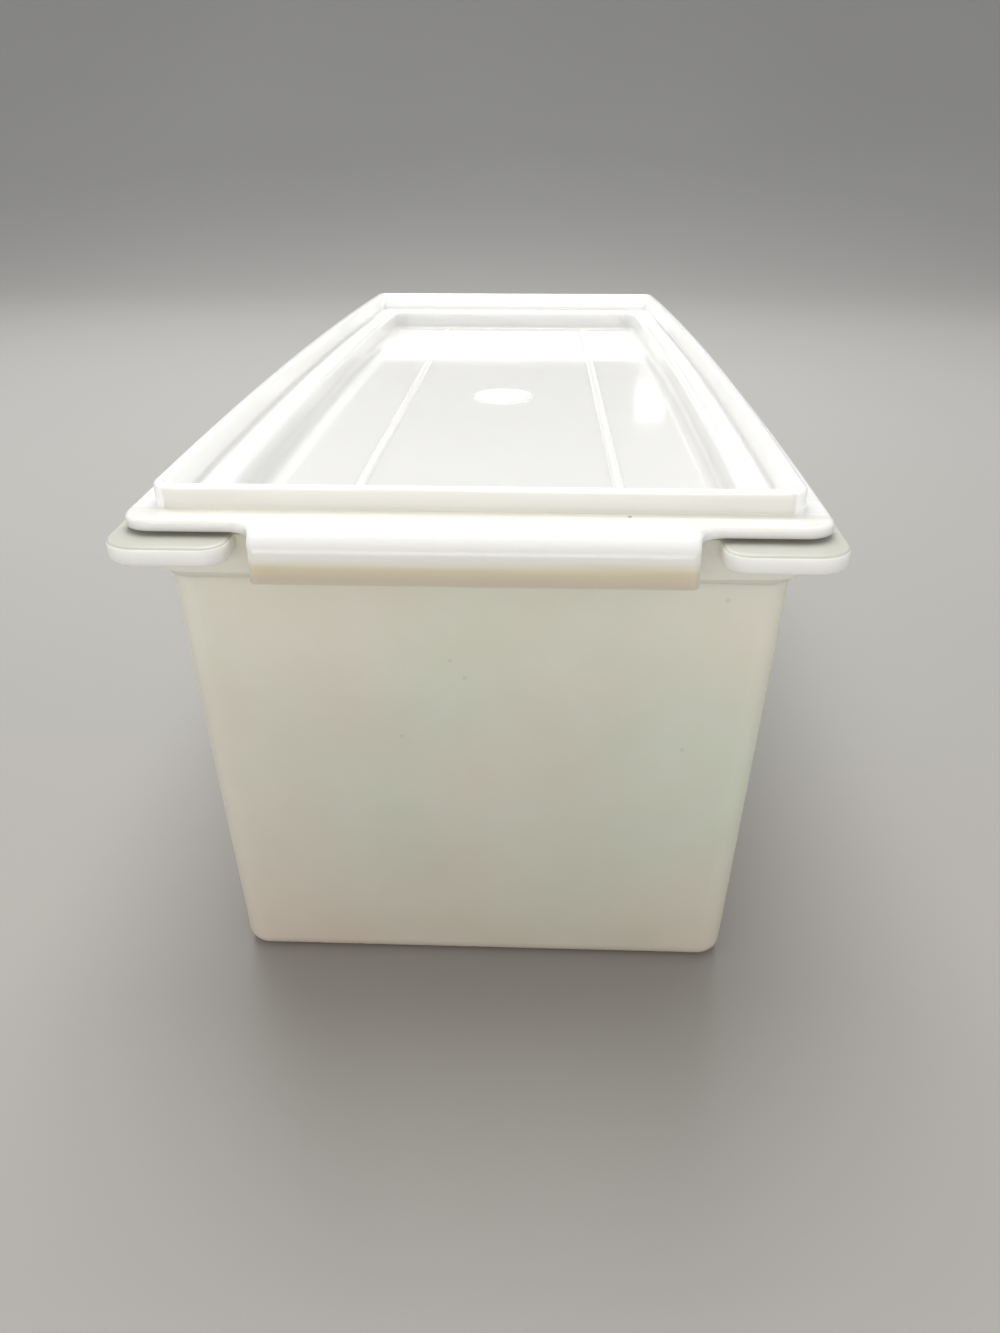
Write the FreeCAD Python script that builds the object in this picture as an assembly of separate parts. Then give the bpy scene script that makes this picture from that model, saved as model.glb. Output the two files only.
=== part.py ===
"""Long food keeper: a deep tapered tub and its press-on lid, both of thin translucent plastic.

Millimetres. +Z is up, the origin is the middle of the footprint on the table, the long axis is Y
and the two ends with a pull tab face -Y and +Y. Widths are measured at the ends of the piece,
because the long sides swell outwards towards mid-length.
"""
import FreeCAD
import Part
import math
import os

V = FreeCAD.Vector

# ---- Tub body -------------------------------------------------------------------------------
BASE_WIDTH = 101.0        # outside, at the table
BASE_LENGTH = 265.4       # outside, at the table
TUB_HEIGHT = 97.0         # table to the top of the rim wall
DRAFT_DEG = 2.3           # lean of all four walls
TUB_WALL = 1.8
TUB_FLOOR = 2.0
TUB_CORNER = 5.0          # radius of the upright corners
HEEL_RADIUS = 3.4         # round edge between floor and walls
BASE_BOW = 0.8            # how far the long sides swell at mid-length, at the base
RIM_BOW = 2.9             # the same at the rim, which the lid shares

# ---- Tub rim --------------------------------------------------------------------------------
COLLAR_STEP = 2.2         # the wall steps out by this much below the rim
COLLAR_DROP = 8.1         # from the rim top down to that step
COLLAR_SHOULDER = 1.8     # height of the sloping shoulder under the collar
EDGE_SIDE_REACH = 4.0     # the flat edge stands out this far past the collar along the sides
EDGE_END_REACH = 8.0      # and this far at the ends, where it forms the ears
EDGE_DROP = 0.8           # from the rim top down to the top of the flat edge
EDGE_THICK = 3.3
EDGE_CORNER = 6.5         # radius of its outer corners
EDGE_ROUND = 0.6          # rounding of its upper and lower edges
EAR_CORNER = 4.0          # radius of the ears' inner corners

# ---- Lid ------------------------------------------------------------------------------------
SHEET = 1.6               # thickness of the ledge and the tray
FLANGE_THICK = 2.0        # also that of the pull tabs and their lips
FLANGE_SIDE_REACH = 3.75  # flat flange outside the ridge, along the sides
FLANGE_END_REACH = 6.0    # the same at the ends
FLANGE_CORNER = 5.6
FLANGE_ROUND = 0.8
RIDGE_THICK = 2.0         # the upright ridge that runs all round the top
RIDGE_RISE = 4.0          # above the flange
RIDGE_CORNER = 4.0
RIDGE_ROUND = 0.7
LEDGE_DROP = 1.8          # from the flange's top down to the ledge inside the ridge
LEDGE_FILLET = 1.0        # round edge between ridge and ledge
LEDGE_WIDTH = 5.8         # from the ridge to the recess, at the ends of the long sides
LEDGE_END_WIDTH = 5.5     # the same at the two ends
RECESS_BOW = 2.2          # how far the recess's long walls swell at mid-length
RECESS_CORNER = 5.0
RECESS_DEPTH = 7.2        # from the ledge to the recess floor
RECESS_ROUND = 1.2        # rounding of the ledge where it turns down into the recess
RECESS_FILLET = 2.6       # round edge between the recess's walls and its floor
RIB_SPACING = 54.6        # between the two long half-round ribs on the recess floor
RIB_WIDTH = 2.4
RIB_HEIGHT = 0.7
BUTTON_WIDTH = 17.7       # plain round button in the middle of the recess floor
BUTTON_HEIGHT = 0.5
BUTTON_ROUND = 0.3
TAB_WIDTH = 72.6          # overall width of the pull tab
TAB_REACH = 6.0           # how far the tab stands out past the flange
TAB_CORNER = 1.5          # radius of the tab's front corners, seen from above
TAB_ROLL = 4.0            # radius with which the tab turns down into its lip
LIP_DROP = 6.7            # how far the tab's lip hangs below the flange's underside

# ---- Fits between lid and tub ---------------------------------------------------------------
PLUG_GAP = 0.4            # between the ledge's outer edge and the inside of the collar
RIDGE_SIDE_INSET = 1.45   # the ridge stands this far inside the collar's outside, at the sides
RIDGE_END_INSET = 3.8     # the same at the ends
EAR_GAP = 4.0             # between the tab's lip and the ears beside it

# ---- Worked out: heights --------------------------------------------------------------------
LEAN = math.tan(math.radians(DRAFT_DEG))
STEP_Z = TUB_HEIGHT - COLLAR_DROP
EDGE_TOP = TUB_HEIGHT - EDGE_DROP
EDGE_LOW = EDGE_TOP - EDGE_THICK
FLANGE_TOP = TUB_HEIGHT + FLANGE_THICK
LID_TOP = FLANGE_TOP + RIDGE_RISE
LEDGE_TOP = FLANGE_TOP - LEDGE_DROP
RECESS_FLOOR = LEDGE_TOP - RECESS_DEPTH
LIP_LOW = TUB_HEIGHT - LIP_DROP

# ---- Worked out: half widths (X) and half lengths (Y) ---------------------------------------
COLLAR_FOOT_Y = BASE_LENGTH / 2 + STEP_Z * LEAN + COLLAR_STEP
COLLAR_X = BASE_WIDTH / 2 + TUB_HEIGHT * LEAN + COLLAR_STEP
COLLAR_Y = BASE_LENGTH / 2 + TUB_HEIGHT * LEAN + COLLAR_STEP
COLLAR_CORNER = TUB_CORNER + COLLAR_STEP
EDGE_X = COLLAR_X + EDGE_SIDE_REACH
EDGE_Y = COLLAR_Y + EDGE_END_REACH
RIDGE_X = COLLAR_X - RIDGE_SIDE_INSET
RIDGE_Y = COLLAR_Y - RIDGE_END_INSET
FLANGE_X = RIDGE_X + FLANGE_SIDE_REACH
FLANGE_Y = RIDGE_Y + FLANGE_END_REACH
RECESS_X = RIDGE_X - RIDGE_THICK - LEDGE_WIDTH
RECESS_Y = RIDGE_Y - RIDGE_THICK - LEDGE_END_WIDTH
TAB_BEND = TAB_REACH - TAB_CORNER  # radius of the bend from the flange out into the tab
TAB_FRONT_Y = -FLANGE_Y - TAB_REACH
NOTCH_X = TAB_WIDTH / 2 + EAR_GAP


def plan(half_x, half_y, corner, bow, z, inset=0.0):
    """Closed outline at height z: straight ends, round corners and long sides that swell by bow.

    The pieces meet smoothly, and inset moves the whole outline inwards by that distance.
    """
    side_r = (half_y ** 2 + bow ** 2) / (2 * bow)
    side_cx = half_x + bow - side_r
    corner_y = half_y - corner
    reach = side_r - corner
    corner_x = side_cx + math.sqrt(reach ** 2 - corner_y ** 2)
    lean = math.asin(corner_y / reach)
    r = corner - inset

    def on_corner(sx, sy, angle):
        return V(sx * (corner_x + r * math.cos(angle)), sy * (corner_y + r * math.sin(angle)), z)

    sides, middles, ends = {}, {}, {}
    for sx in (-1, 1):
        for sy in (-1, 1):
            sides[sx, sy] = on_corner(sx, sy, lean)
            middles[sx, sy] = on_corner(sx, sy, (lean + math.pi / 2) / 2)
            ends[sx, sy] = on_corner(sx, sy, math.pi / 2)

    bulge = V(half_x + bow - inset, 0, z)
    dent = V(-bulge.x, 0, z)
    curves = [
        Part.Arc(sides[1, -1], bulge, sides[1, 1]),
        Part.Arc(sides[1, 1], middles[1, 1], ends[1, 1]),
        Part.LineSegment(ends[1, 1], ends[-1, 1]),
        Part.Arc(ends[-1, 1], middles[-1, 1], sides[-1, 1]),
        Part.Arc(sides[-1, 1], dent, sides[-1, -1]),
        Part.Arc(sides[-1, -1], middles[-1, -1], ends[-1, -1]),
        Part.LineSegment(ends[-1, -1], ends[1, -1]),
        Part.Arc(ends[1, -1], middles[1, -1], sides[1, -1]),
    ]
    return Part.Wire([curve.toShape() for curve in curves])


def slab(half_x, half_y, corner, bow, low, high, inset=0.0):
    """The outline of plan() as a straight block from low to high."""
    return Part.Face(plan(half_x, half_y, corner, bow, low, inset)).extrude(V(0, 0, high - low))


def body_between(low, high, grow_low=0.0, grow_high=0.0, inset=0.0):
    """The tub's tapered body between two heights, grown outwards at each and then inset."""
    wires = []
    for z, grow in ((low, grow_low), (high, grow_high)):
        spread = z * LEAN + grow
        bow = BASE_BOW + (RIM_BOW - BASE_BOW) * z / TUB_HEIGHT
        wires.append(plan(BASE_WIDTH / 2 + spread, BASE_LENGTH / 2 + spread, TUB_CORNER + grow,
                          bow, z, inset))
    return Part.makeLoft(wires, True, True)


def box(x0, x1, y0, y1, z0, z1):
    return Part.makeBox(x1 - x0, y1 - y0, z1 - z0, V(x0, y0, z0))


def lies_at(edge, *heights):
    """True for an edge that lies wholly at one of the heights."""
    bounds = edge.BoundBox
    return any(max(abs(bounds.ZMin - z), abs(bounds.ZMax - z)) < 0.01 for z in heights)


def round_edges(shape, radius, wanted):
    """Fillet the edges that wanted() picks."""
    return shape.makeFillet(radius, [edge for edge in shape.Edges if wanted(edge)])


def tub_block(inset, floor_z, heel):
    """The body from its floor up to the rim, with the collar's step, as one solid block."""
    foot_z = STEP_Z - COLLAR_SHOULDER
    body = body_between(floor_z, foot_z, inset=inset)
    body = round_edges(body, heel, lambda edge: lies_at(edge, floor_z))
    flare = body_between(foot_z, STEP_Z, 0.0, COLLAR_STEP, inset)
    collar = body_between(STEP_Z, TUB_HEIGHT, COLLAR_STEP, COLLAR_STEP, inset)
    return body.fuse([flare, collar])


def flat_edge():
    """The flat edge round the rim, cut back to the collar between the ears at both ends."""
    ring = slab(EDGE_X, EDGE_Y, EDGE_CORNER, RIM_BOW, EDGE_LOW, EDGE_TOP)
    for side in (-1, 1):
        near, far = sorted((side * COLLAR_FOOT_Y, side * (EDGE_Y + EDGE_THICK)))
        ring = ring.cut(box(-NOTCH_X, NOTCH_X, near, far, EDGE_LOW, EDGE_TOP))

    def ear_corner(edge):
        middle = edge.BoundBox.Center
        upright = edge.BoundBox.ZLength > EDGE_THICK / 2
        return upright and abs(abs(middle.x) - NOTCH_X) < 0.01 and abs(middle.y) > COLLAR_Y

    ring = round_edges(ring, EAR_CORNER, ear_corner)
    return round_edges(ring, EDGE_ROUND, lambda edge: lies_at(edge, EDGE_LOW, EDGE_TOP))


def make_tub():
    outside = tub_block(0.0, 0.0, HEEL_RADIUS)
    hollow = tub_block(TUB_WALL, TUB_FLOOR, max(HEEL_RADIUS - TUB_WALL, TUB_WALL / 2))
    return outside.fuse(flat_edge()).cut(hollow).removeSplitter()


def tab_outline(z):
    """The pull tab seen from above, at the -Y end: it leaves the flange in two wide bends."""
    side_x = TAB_WIDTH / 2
    bend = math.sqrt(0.5)
    points = {}
    for s in (-1, 1):
        bend_x = s * (side_x + TAB_BEND)
        bend_y = -FLANGE_Y - TAB_BEND
        corner_x = s * (side_x - TAB_CORNER)
        points[s] = (
            V(bend_x, -RIDGE_Y, z),
            V(bend_x, -FLANGE_Y, z),
            V(bend_x - s * TAB_BEND * bend, bend_y + TAB_BEND * bend, z),
            V(s * side_x, bend_y, z),
            V(corner_x + s * TAB_CORNER * bend, bend_y - TAB_CORNER * bend, z),
            V(corner_x, TAB_FRONT_Y, z),
        )
    left, right = points[-1], points[1]
    curves = [
        Part.LineSegment(left[0], left[1]),
        Part.Arc(left[1], left[2], left[3]),
        Part.Arc(left[3], left[4], left[5]),
        Part.LineSegment(left[5], right[5]),
        Part.Arc(right[5], right[4], right[3]),
        Part.Arc(right[3], right[2], right[1]),
        Part.LineSegment(right[1], right[0]),
        Part.LineSegment(right[0], left[0]),
    ]
    return Part.Wire([curve.toShape() for curve in curves])


def tab_section(x):
    """The tab cut along its middle, at the -Y end: flat, then rolled down into the lip."""
    roll_y = TAB_FRONT_Y + TAB_ROLL
    roll_z = FLANGE_TOP - TAB_ROLL
    inner = TAB_ROLL - FLANGE_THICK
    bend = math.sqrt(0.5)
    lip_back = TAB_FRONT_Y + FLANGE_THICK
    curves = [
        Part.LineSegment(V(x, -RIDGE_Y, TUB_HEIGHT), V(x, -RIDGE_Y, FLANGE_TOP)),
        Part.LineSegment(V(x, -RIDGE_Y, FLANGE_TOP), V(x, roll_y, FLANGE_TOP)),
        Part.Arc(V(x, roll_y, FLANGE_TOP),
                 V(x, roll_y - TAB_ROLL * bend, roll_z + TAB_ROLL * bend),
                 V(x, TAB_FRONT_Y, roll_z)),
        Part.LineSegment(V(x, TAB_FRONT_Y, roll_z), V(x, TAB_FRONT_Y, LIP_LOW)),
        Part.LineSegment(V(x, TAB_FRONT_Y, LIP_LOW), V(x, lip_back, LIP_LOW)),
        Part.LineSegment(V(x, lip_back, LIP_LOW), V(x, lip_back, roll_z)),
        Part.Arc(V(x, lip_back, roll_z),
                 V(x, roll_y - inner * bend, roll_z + inner * bend),
                 V(x, roll_y, TUB_HEIGHT)),
        Part.LineSegment(V(x, roll_y, TUB_HEIGHT), V(x, -RIDGE_Y, TUB_HEIGHT)),
    ]
    return Part.Wire([curve.toShape() for curve in curves])


def pull_tab():
    """One pull tab with its lip, at the -Y end."""
    half = TAB_WIDTH / 2 + TAB_BEND
    bar = Part.Face(tab_section(-half)).extrude(V(2 * half, 0, 0))
    post = Part.Face(tab_outline(LIP_LOW)).extrude(V(0, 0, FLANGE_TOP - LIP_LOW))
    return bar.common(post)


def at_both_ends(shape):
    """The shape at the -Y end and its copy turned round to the +Y end."""
    copy = shape.copy()
    copy.rotate(V(0, 0, 0), V(0, 0, 1), 180)
    return [shape, copy]


def lid_flange():
    """The flat flange with its two pull tabs, rounded along its upper edge."""
    flange = slab(FLANGE_X, FLANGE_Y, FLANGE_CORNER, RIM_BOW, TUB_HEIGHT, FLANGE_TOP)
    flange = flange.fuse(at_both_ends(pull_tab())).removeSplitter()
    return round_edges(flange, FLANGE_ROUND, lambda edge: lies_at(edge, FLANGE_TOP)
                       and abs(edge.BoundBox.Center.y) < FLANGE_Y + TAB_REACH - TAB_ROLL)


def lid_block():
    """Flange, ridge, ledge and tray before the top is hollowed out."""
    ridge = slab(RIDGE_X, RIDGE_Y, RIDGE_CORNER, RIM_BOW, TUB_HEIGHT, LID_TOP)
    plug = slab(COLLAR_X, COLLAR_Y, COLLAR_CORNER, RIM_BOW, LEDGE_TOP - SHEET, TUB_HEIGHT,
                TUB_WALL + PLUG_GAP)
    tray = slab(RECESS_X + SHEET, RECESS_Y + SHEET, RECESS_CORNER + SHEET, RECESS_BOW,
                RECESS_FLOOR - SHEET, TUB_HEIGHT)
    return lid_flange().fuse([ridge, plug, tray])


def floor_relief():
    """Two long half-round ribs and a round button that stand up from the recess floor."""
    rib_r = ((RIB_WIDTH / 2) ** 2 + RIB_HEIGHT ** 2) / (2 * RIB_HEIGHT)
    rib_y = RECESS_Y - RECESS_FILLET
    low = RECESS_FLOOR - SHEET / 2
    pieces = []
    for side in (-1, 1):
        x = side * RIB_SPACING / 2
        rod = Part.makeCylinder(rib_r, 2 * rib_y, V(x, -rib_y, RECESS_FLOOR + RIB_HEIGHT - rib_r),
                                V(0, 1, 0))
        pieces.append(rod.common(box(x - rib_r, x + rib_r, -rib_y, rib_y, low, LEDGE_TOP)))
    button = Part.makeCylinder(BUTTON_WIDTH / 2, SHEET / 2 + BUTTON_HEIGHT, V(0, 0, low))
    pieces.append(round_edges(button, BUTTON_ROUND,
                              lambda edge: lies_at(edge, RECESS_FLOOR + BUTTON_HEIGHT)))
    return pieces


def make_lid():
    inside = slab(RIDGE_X, RIDGE_Y, RIDGE_CORNER, RIM_BOW, LEDGE_TOP, LID_TOP, RIDGE_THICK)
    inside = round_edges(inside, LEDGE_FILLET, lambda edge: lies_at(edge, LEDGE_TOP))
    recess = slab(RECESS_X, RECESS_Y, RECESS_CORNER, RECESS_BOW, RECESS_FLOOR, LEDGE_TOP)
    recess = round_edges(recess, RECESS_FILLET, lambda edge: lies_at(edge, RECESS_FLOOR))
    solid = lid_block().cut(inside).cut(recess)

    def recess_mouth(edge):
        bounds = edge.BoundBox
        return (lies_at(edge, LEDGE_TOP) and abs(bounds.Center.x) < RECESS_X + RECESS_BOW
                and abs(bounds.Center.y) < RECESS_Y + LEDGE_END_WIDTH / 4)

    solid = round_edges(solid, RECESS_ROUND, recess_mouth)
    solid = round_edges(solid, RIDGE_ROUND, lambda edge: lies_at(edge, LID_TOP))
    return solid.fuse(floor_relief()).removeSplitter()


def main():
    os.makedirs("parts", exist_ok=True)
    for name, shape in (("tub", make_tub()), ("lid", make_lid())):
        shape.exportStep("parts/%s.step" % name)
        print(name, "solids", len(shape.Solids), "valid", shape.isValid(), "volume %.0f" % shape.Volume)


main()
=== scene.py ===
"""Looks of the food keeper: milky plastic tub and lid on a plain pale floor. Metres."""
import bpy
import math
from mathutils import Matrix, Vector


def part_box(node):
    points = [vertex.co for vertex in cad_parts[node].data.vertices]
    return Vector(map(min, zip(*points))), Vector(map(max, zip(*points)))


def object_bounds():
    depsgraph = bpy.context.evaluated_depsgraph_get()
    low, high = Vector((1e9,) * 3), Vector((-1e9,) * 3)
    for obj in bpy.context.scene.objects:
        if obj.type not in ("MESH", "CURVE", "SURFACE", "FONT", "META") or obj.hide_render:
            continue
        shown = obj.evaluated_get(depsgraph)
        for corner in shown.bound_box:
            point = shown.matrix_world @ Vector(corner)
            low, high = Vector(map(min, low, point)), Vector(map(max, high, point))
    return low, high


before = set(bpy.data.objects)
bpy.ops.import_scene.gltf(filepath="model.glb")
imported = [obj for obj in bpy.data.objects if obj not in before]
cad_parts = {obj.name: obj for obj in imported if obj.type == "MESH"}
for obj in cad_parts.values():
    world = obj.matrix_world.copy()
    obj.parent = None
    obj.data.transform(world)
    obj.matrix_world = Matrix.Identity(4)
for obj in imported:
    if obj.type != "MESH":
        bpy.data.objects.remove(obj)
cad_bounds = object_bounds()

MM = 0.001

# ---- Places on the keeper ---------------------------------------------------------------------
TOP = cad_bounds[1][2]              # height of the lid's ridge
END = cad_bounds[1][1]              # half the overall length, the front of a pull tab
SIDE = cad_bounds[1][0]             # half the overall width, the flat edge at mid-length
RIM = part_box("tub")[1][2]           # height of the tub's rim, which the lid lies on
EDGE_TOP = RIM - 0.8 * MM           # top of the tub's flat edge, and so of its ears
FLANGE_TOP = RIM + 2.0 * MM         # top of the lid's flange and pull tabs
RECESS_FLOOR = RIM - 7.0 * MM       # height of the floor of the lid's recess
COLLAR_END = END - 8.2 * MM         # half the length of the tub's collar, which the ears leave
RIDGE_FACE = END - 12.0 * MM        # the ridge's outer face, across each end
RECESS_END = END - 19.5 * MM        # where the recess ends and the ledge beyond it starts
FOOT_END = 132.7 * MM               # half the tub's length at the table
LEAN = math.tan(math.radians(2.3))  # of the tub's walls
BUTTON_RADIUS = 8.85 * MM           # of the plain round button on the recess floor

# ---- Marks, in millimetres --------------------------------------------------------------------
SCUFFS = ((38.0, 53.1), (43.2, 84.0), (-5.0, 71.3), (-2.4, 67.8), (-14.5, 55.0))  # X and Z
SCUFF_SIZE = 0.6
SCUFF_STRENGTH = 0.22               # from 0 for unseen to 1 for the mark's full colour
FLANGE_MARK = (25.5, -136.7)        # X and Y
FLANGE_MARK_SIZE = 0.5

# ---- Painted light and shade that multiply the tub's own colour -------------------------------
# painted shade darkens the tub towards the foot, and painted light brightens it near the rim
TUB_PAINTED_LIGHT_BY_HEIGHT = (                   # as (height, colour)
    (0.00 * RIM, (0.75, 0.70, 0.70)),
    (0.37 * RIM, (0.77, 0.795, 0.805)),
    (0.65 * RIM, (0.86, 0.865, 0.885)),
    (0.90 * RIM, (1.03, 1.03, 1.03)),
    (0.94 * RIM, (1.04, 1.08, 1.08)),
)
# painted light: the tub lighter towards its sides and corners
TUB_PAINTED_LIGHT_BY_SIDE = (                     # as (distance from the middle line, colour)
    (0.4 * SIDE, (0.955, 0.955, 0.955)),
    (0.8 * SIDE, (1.0, 1.0, 1.0)),
)

# ---- Painted shade on the lid outside the ridge at each end, as (height, colour) --------------
LID_PAINTED_SHADE_BY_HEIGHT = (
    (RIM - 6.5 * MM, (0.61, 0.54, 0.465)),
    (RIM - 4.0 * MM, (0.73, 0.665, 0.525)),
    (RIM - 2.0 * MM, (0.97, 0.95, 0.885)),
    (RIM + 1.2 * MM, (1.0, 0.985, 0.93)),
    (FLANGE_TOP, (0.86, 0.85, 0.77)),
    (FLANGE_TOP + 0.4 * MM, (0.75, 0.74, 0.71)),
    (TOP - 0.6 * MM, (0.77, 0.765, 0.735)),
    (TOP - 0.1 * MM, (0.93, 0.92, 0.88)),
)

# ---- Floor: a paper sweep with a wall behind --------------------------------------------------
FLOOR_WIDTH = 80.0
FLOOR_FRONT = -4.0                  # Y of its front edge
FLOOR_BACK = 1.0                    # Y where it starts to curve up
BEND_RADIUS = 1.5
BEND_STEPS = 32
WALL_HEIGHT = 3.0
# painted light on the floor: warmer and dimmer near the keeper, brightest half a metre behind it
FLOOR_PAINTED_LIGHT_BY_DEPTH = (                  # as (Y, colour)
    (-0.12, (0.335, 0.318, 0.298)),
    (0.0, (0.335, 0.328, 0.314)),
    (0.15, (0.348, 0.340, 0.324)),
    (0.5, (0.365, 0.357, 0.343)),
    (1.5, (0.352, 0.349, 0.343)),
    (2.5, (0.360, 0.358, 0.357)),
)
# painted light: the floor lighter on the left than on the right
FLOOR_PAINTED_LIGHT_ACROSS = (                    # as (X, colour that multiplies)
    (-0.5, (1.04, 1.04, 1.04)),
    (0.5, (0.975, 0.975, 0.975)),
)

# ---- Camera: where it stands, where it looks, and its lens ------------------------------------
CAMERA_AT = (0.0100, -0.2956, 0.1516)
LOOK_DOWN_DEG = 26.9
LOOK_LEFT_DEG = 2.14
LENS = 27.0
SENSOR = 36.0
NEAREST_SEEN = 0.01

# ---- Light from all around --------------------------------------------------------------------
STUDIO_COLOUR = (1.0, 1.0, 0.99)
STUDIO_STRENGTH = 0.605


def add_camera():
    data = bpy.data.cameras.new("camera")
    data.lens = LENS
    data.sensor_width = SENSOR
    data.clip_start = NEAREST_SEEN
    camera = bpy.data.objects.new("camera", data)
    camera.location = CAMERA_AT
    camera.rotation_euler = (math.radians(90 - LOOK_DOWN_DEG), 0, math.radians(LOOK_LEFT_DEG))
    bpy.context.scene.collection.objects.link(camera)
    bpy.context.scene.camera = camera


# ---- Small node helpers -----------------------------------------------------------------------
def new_material(name):
    material = bpy.data.materials.new(name)
    material.use_nodes = True
    tree = material.node_tree
    return material, tree, tree.nodes["Principled BSDF"]


def noise(tree, scale, detail=2.0, roughness=0.5, stretch=(1, 1, 1)):
    """Noise in the object's own coordinates; scale counts features per metre."""
    coords = tree.nodes.new("ShaderNodeTexCoord")
    mapping = tree.nodes.new("ShaderNodeMapping")
    mapping.inputs["Scale"].default_value = stretch
    texture = tree.nodes.new("ShaderNodeTexNoise")
    texture.inputs["Scale"].default_value = scale
    texture.inputs["Detail"].default_value = detail
    texture.inputs["Roughness"].default_value = roughness
    tree.links.new(coords.outputs["Object"], mapping.inputs["Vector"])
    tree.links.new(mapping.outputs["Vector"], texture.inputs["Vector"])
    return texture.outputs["Fac"]


def ramp(tree, value, low, high, low_at=0.0, high_at=1.0):
    """The colour low up to where value is low_at, high from high_at on, and a blend between."""
    node = tree.nodes.new("ShaderNodeValToRGB")
    first, last = node.color_ramp.elements
    first.position = low_at
    first.color = (*low, 1)
    last.position = high_at
    last.color = (*high, 1)
    tree.links.new(value, node.inputs["Fac"])
    return node.outputs["Color"]


def grey(level):
    return (level, level, level)


def place(tree):
    """The point's own place on the object in metres, as outputs named X, Y and Z."""
    coords = tree.nodes.new("ShaderNodeTexCoord")
    split = tree.nodes.new("ShaderNodeSeparateXYZ")
    tree.links.new(coords.outputs["Object"], split.inputs["Vector"])
    return split.outputs


def between(tree, value, low, high):
    """0 where value is at low, 1 where it is at high, and a smooth step in between."""
    node = tree.nodes.new("ShaderNodeMapRange")
    node.interpolation_type = "SMOOTHSTEP"
    node.inputs["From Min"].default_value = low
    node.inputs["From Max"].default_value = high
    tree.links.new(value, node.inputs["Value"])
    return node.outputs["Result"]


def colour_at(tree, value, stops):
    """The colour at value, blended straight from each (value, colour) stop to the next."""
    low = stops[0][0]
    high = stops[-1][0]
    node = tree.nodes.new("ShaderNodeMapRange")
    node.inputs["From Min"].default_value = low
    node.inputs["From Max"].default_value = high
    tree.links.new(value, node.inputs["Value"])
    colours = tree.nodes.new("ShaderNodeValToRGB")
    points = colours.color_ramp.elements
    while len(points) < len(stops):
        points.new(0.5)
    for point, (at, colour) in zip(points, stops):
        point.position = (at - low) / (high - low)
        point.color = (*colour, 1)
    tree.links.new(node.outputs["Result"], colours.inputs["Fac"])
    return colours.outputs["Color"]


def calculate(tree, operation, first, second=None):
    """One operation of the Math node; first and second are numbers or sockets."""
    node = tree.nodes.new("ShaderNodeMath")
    node.operation = operation
    for socket, value in zip(node.inputs, (first, second)):
        if isinstance(value, (int, float)):
            socket.default_value = value
        elif value is not None:
            tree.links.new(value, socket)
    return node.outputs["Value"]


def blend(tree, share, first, second):
    """The colour first where share is 0 and second where it is 1."""
    node = tree.nodes.new("ShaderNodeMix")
    node.data_type = "RGBA"
    tree.links.new(share, node.inputs["Factor"])
    for name, colour in (("A", first), ("B", second)):
        if isinstance(colour, tuple):
            node.inputs[name].default_value = (*colour, 1)
        else:
            tree.links.new(colour, node.inputs[name])
    return node.outputs["Result"]


def multiply(tree, first, second):
    """The colours first and second multiplied."""
    node = tree.nodes.new("ShaderNodeMix")
    node.data_type = "RGBA"
    node.blend_type = "MULTIPLY"
    node.inputs["Factor"].default_value = 1.0
    tree.links.new(first, node.inputs["A"])
    tree.links.new(second, node.inputs["B"])
    return node.outputs["Result"]


def bump(tree, height, distance, strength, below=None):
    """A surface made uneven by height, on top of the unevenness below, if any."""
    node = tree.nodes.new("ShaderNodeBump")
    node.inputs["Distance"].default_value = distance
    node.inputs["Strength"].default_value = strength
    tree.links.new(height, node.inputs["Height"])
    if below is not None:
        tree.links.new(below, node.inputs["Normal"])
    return node.outputs["Normal"]


def specks(tree, spots, size):
    """1 inside the small round spots, which stand at (x, y, z), and 0 outside their soft edges."""
    coords = tree.nodes.new("ShaderNodeTexCoord")
    nearest = 1.0  # metres, more than the keeper's own length
    for spot in spots:
        node = tree.nodes.new("ShaderNodeVectorMath")
        node.operation = "DISTANCE"
        node.inputs[1].default_value = spot
        tree.links.new(coords.outputs["Object"], node.inputs[0])
        nearest = calculate(tree, "MINIMUM", node.outputs["Value"], nearest)
    return between(tree, nearest, size, 0.4 * size)


# ---- Plastics ---------------------------------------------------------------------------------
def plastic(name, colour_of, roughness_of, depth):
    """Milky polyethylene: light scatters inside it over depth, and its skin is faintly uneven."""
    material, tree, shader = new_material(name)
    tree.links.new(colour_of(tree), shader.inputs["Base Color"])
    tree.links.new(roughness_of(tree), shader.inputs["Roughness"])
    shader.inputs["IOR"].default_value = 1.5
    shader.inputs["Subsurface Weight"].default_value = 1.0
    shader.inputs["Subsurface Radius"].default_value = (1.0, 1.0, 1.0)
    shader.inputs["Subsurface Scale"].default_value = depth
    waves = noise(tree, scale=35, detail=1.0)
    grain = noise(tree, scale=1400)
    normal = bump(tree, waves, distance=0.25 * MM, strength=0.25)
    normal = bump(tree, grain, distance=0.02 * MM, strength=0.35, below=normal)
    tree.links.new(normal, shader.inputs["Normal"])
    return material


def on_front(x, z):
    """The point at x and z, in millimetres, on the tub's outer face that looks towards -Y."""
    return (x * MM, -FOOT_END - z * MM * LEAN, z * MM)


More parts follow.
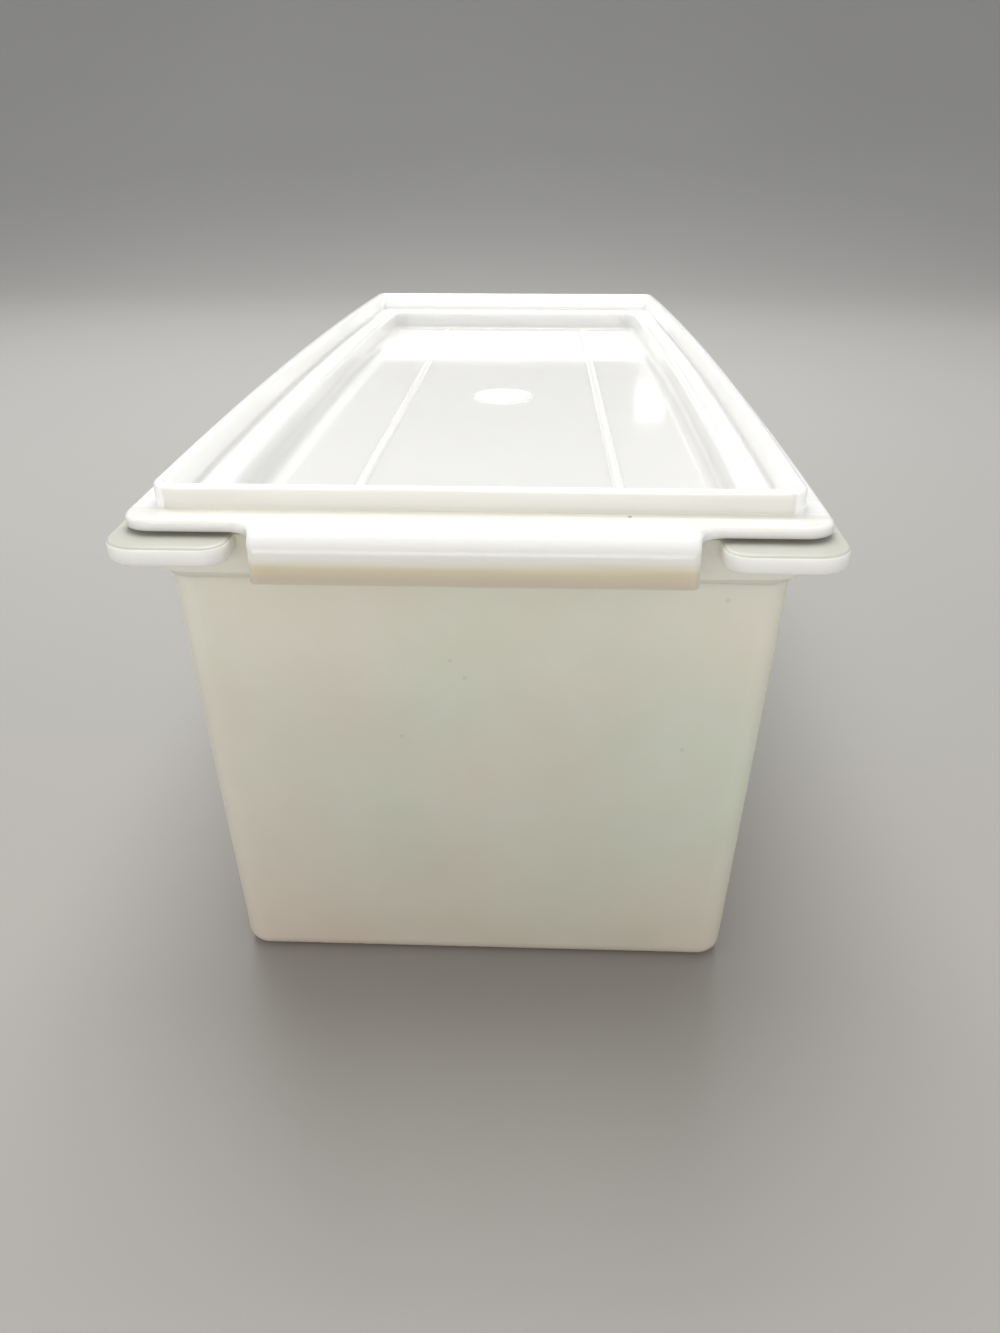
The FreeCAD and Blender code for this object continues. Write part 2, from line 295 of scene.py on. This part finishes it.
def tub_colour(tree):
    """Warm off-white, faintly pink and green in patches, and darker towards the foot.

    A few scuffs mark the front. The ears are painted whiter, as light, and the top of the flat
    edge painted darker, as shade.
    """
    pinkish = (0.965, 0.91, 0.80)
    greenish = (0.915, 0.945, 0.815)
    cloudy = (0.955, 0.95, 0.93)
    scuffed = (0.42, 0.38, 0.33)
    painted_light_ears = (1.0, 1.0, 0.90)
    painted_shade_top = (0.50, 0.495, 0.44)

    patches = ramp(tree, noise(tree, scale=16, roughness=0.6),
                   pinkish, greenish, low_at=0.38, high_at=0.62)
    clouds = ramp(tree, noise(tree, scale=45, detail=4.0, roughness=0.6),
                  cloudy, grey(1.0), low_at=0.3, high_at=0.7)
    here = place(tree)
    # Painted shade towards the foot and painted light near the rim and towards the sides.
    shade = colour_at(tree, here["Z"], TUB_PAINTED_LIGHT_BY_HEIGHT)
    aside = colour_at(tree, calculate(tree, "ABSOLUTE", here["X"]), TUB_PAINTED_LIGHT_BY_SIDE)
    shade = multiply(tree, shade, aside)
    body = multiply(tree, multiply(tree, patches, clouds), shade)

    marks = specks(tree, [on_front(x, z) for x, z in SCUFFS], SCUFF_SIZE * MM)
    faint_marks = calculate(tree, "MULTIPLY", marks, SCUFF_STRENGTH)
    body = blend(tree, faint_marks, body, scuffed)

    out = calculate(tree, "ABSOLUTE", here["Y"])
    # Painted light: the ears whiter, as lit through the plastic.
    ears = between(tree, out, COLLAR_END + 0.4 * MM, COLLAR_END + 1.4 * MM)
    body = blend(tree, ears, body, painted_light_ears)
    # Painted shade: the top of the flat edge and its ears darker.
    upper = between(tree, here["Z"], EDGE_TOP - 0.5 * MM, EDGE_TOP - 0.2 * MM)
    return blend(tree, upper, body, painted_shade_top)


def tub_roughness(tree):
    """Satin, a little uneven."""
    return ramp(tree, noise(tree, scale=60, detail=5.0, roughness=0.65),
                grey(0.32), grey(0.42), low_at=0.35, high_at=0.7)


def lid_colour(tree):
    """Milky white, with painted shade darkening the recess floor and painted light whitening the
    ledges beyond it.

    Outside the ridge at each end painted shade goes by height, darkest down the pull tab's lip.
    """
    creamy = (0.95, 0.94, 0.895)
    milky = (0.97, 0.965, 0.92)
    painted_shade_floor = (0.80, 0.795, 0.775)
    painted_light_ledge = (1.0, 1.0, 0.985)
    marked = (0.30, 0.27, 0.24)

    milk = ramp(tree, noise(tree, scale=22, detail=3.0, roughness=0.55),
                creamy, milky, low_at=0.35, high_at=0.68)
    here = place(tree)
    # Painted shade: the recess floor darker.
    low = between(tree, here["Z"], RECESS_FLOOR + 1.5 * MM, RECESS_FLOOR + 0.1 * MM)
    tray = blend(tree, low, milk, painted_shade_floor)
    out = calculate(tree, "ABSOLUTE", here["Y"])
    # Painted light: the ledges beyond the recess whiter.
    beyond = between(tree, out, RECESS_END - 1.0 * MM, RECESS_END)
    tray = blend(tree, beyond, tray, painted_light_ledge)

    # Painted shade by height outside the ridge, darkest down the lip; streaks along X shift the
    # heights up and down a little, so that no band ends on a line.
    streaks = noise(tree, scale=500, roughness=0.6, stretch=(0.03, 1, 1))
    jitter = calculate(tree, "MULTIPLY", calculate(tree, "SUBTRACT", streaks, 0.5), 2.0 * MM)
    painted_shade_outside = colour_at(tree, calculate(tree, "ADD", here["Z"], jitter), LID_PAINTED_SHADE_BY_HEIGHT)
    outside = between(tree, out, RIDGE_FACE - 0.5 * MM, RIDGE_FACE - 0.2 * MM)
    lid = blend(tree, outside, tray, painted_shade_outside)

    x, y = FLANGE_MARK
    mark = specks(tree, [(x * MM, y * MM, FLANGE_TOP)], FLANGE_MARK_SIZE * MM)
    return blend(tree, mark, lid, marked)


def lid_roughness(tree):
    """Glossy, except for the frosted button in the middle of the recess floor."""
    gloss = ramp(tree, noise(tree, scale=60, detail=5.0, roughness=0.65),
                 grey(0.07), grey(0.12), low_at=0.35, high_at=0.7)
    here = place(tree)
    x_squared = calculate(tree, "MULTIPLY", here["X"], here["X"])
    y_squared = calculate(tree, "MULTIPLY", here["Y"], here["Y"])
    away = calculate(tree, "SQRT", calculate(tree, "ADD", x_squared, y_squared))
    frost = between(tree, away, BUTTON_RADIUS + 0.5 * MM, BUTTON_RADIUS - 3.0 * MM)
    return blend(tree, frost, gloss, grey(0.6))


def dress(node, material):
    """Give a CAD node its material."""
    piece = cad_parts[node]
    piece.data.materials.clear()
    piece.data.materials.append(material)


# ---- Floor and light --------------------------------------------------------------------------
def add_floor():
    """A pale paper sweep: flat under the keeper, then curving up into a wall behind it."""
    profile = [(FLOOR_FRONT, 0.0), (FLOOR_BACK, 0.0)]
    for i in range(1, BEND_STEPS + 1):
        angle = math.pi / 2 * i / BEND_STEPS
        y = FLOOR_BACK + BEND_RADIUS * math.sin(angle)
        z = BEND_RADIUS * (1 - math.cos(angle))
        profile.append((y, z))
    profile.append((FLOOR_BACK + BEND_RADIUS, WALL_HEIGHT))
    verts = [(x, y, z) for y, z in profile for x in (-FLOOR_WIDTH / 2, FLOOR_WIDTH / 2)]
    faces = [(2 * i, 2 * i + 1, 2 * i + 3, 2 * i + 2) for i in range(len(profile) - 1)]
    mesh = bpy.data.meshes.new("floor")
    mesh.from_pydata(verts, [], faces)
    mesh.shade_smooth()
    floor = bpy.data.objects.new("floor", mesh)
    bpy.context.scene.collection.objects.link(floor)

    material, tree, shader = new_material("floor_paper")
    here = place(tree)
    # Painted light by depth along the floor.
    along = colour_at(tree, here["Y"], FLOOR_PAINTED_LIGHT_BY_DEPTH)
    # Painted light across the floor, lighter to the left.
    across = colour_at(tree, here["X"], FLOOR_PAINTED_LIGHT_ACROSS)
    blotches = ramp(tree, noise(tree, scale=3), grey(0.97), grey(1.03))
    colour = multiply(tree, multiply(tree, along, across), blotches)
    tree.links.new(colour, shader.inputs["Base Color"])
    shader.inputs["Roughness"].default_value = 0.6
    mesh.materials.append(material)


def area_light(name, at, aim, size, watts, colour=(1, 1, 1)):
    """A rectangle of light that stands at one point and looks at another."""
    data = bpy.data.lights.new(name, "AREA")
    data.shape = "RECTANGLE"
    data.size, data.size_y = size
    data.energy = watts
    data.color = colour
    light = bpy.data.objects.new(name, data)
    light.location = at
    light.rotation_euler = (Vector(aim) - Vector(at)).to_track_quat("-Z", "Y").to_euler()
    bpy.context.scene.collection.objects.link(light)


def add_lights():
    """Soft studio light, and a small lamp that shines back from the floor of the lid's recess."""
    world = bpy.data.worlds.new("studio")
    world.use_nodes = True
    background = world.node_tree.nodes["Background"]
    background.inputs["Color"].default_value = (*STUDIO_COLOUR, 1)
    background.inputs["Strength"].default_value = STUDIO_STRENGTH
    bpy.context.scene.world = world
    area_light("key_back", at=(-0.08, 0.75, 0.95), aim=(0, 0, 0.08), size=(0.9, 0.7), watts=6.0)
    area_light("top", at=(-0.06, 0.25, 1.3), aim=(0, 0, 0), size=(0.9, 0.9), watts=12.5)
    area_light("front_fill", at=(-0.1, -1.5, 0.25), aim=(0, -0.13, 0.05), size=(1.4, 0.4),
               watts=4.6, colour=(1.0, 0.97, 0.91))
    area_light("lamp", at=(0.125, 0.75, 0.25), aim=(0, 0, 0.09), size=(0.028, 0.015),
               watts=0.005)


add_camera()
add_floor()
add_lights()
bpy.context.scene.view_settings.view_transform = "Standard"

tub_plastic = plastic("tub_plastic", tub_colour, tub_roughness, depth=2.5 * MM)
lid_plastic = plastic("lid_plastic", lid_colour, lid_roughness, depth=3.5 * MM)
dress("tub", tub_plastic)
dress("lid", lid_plastic)
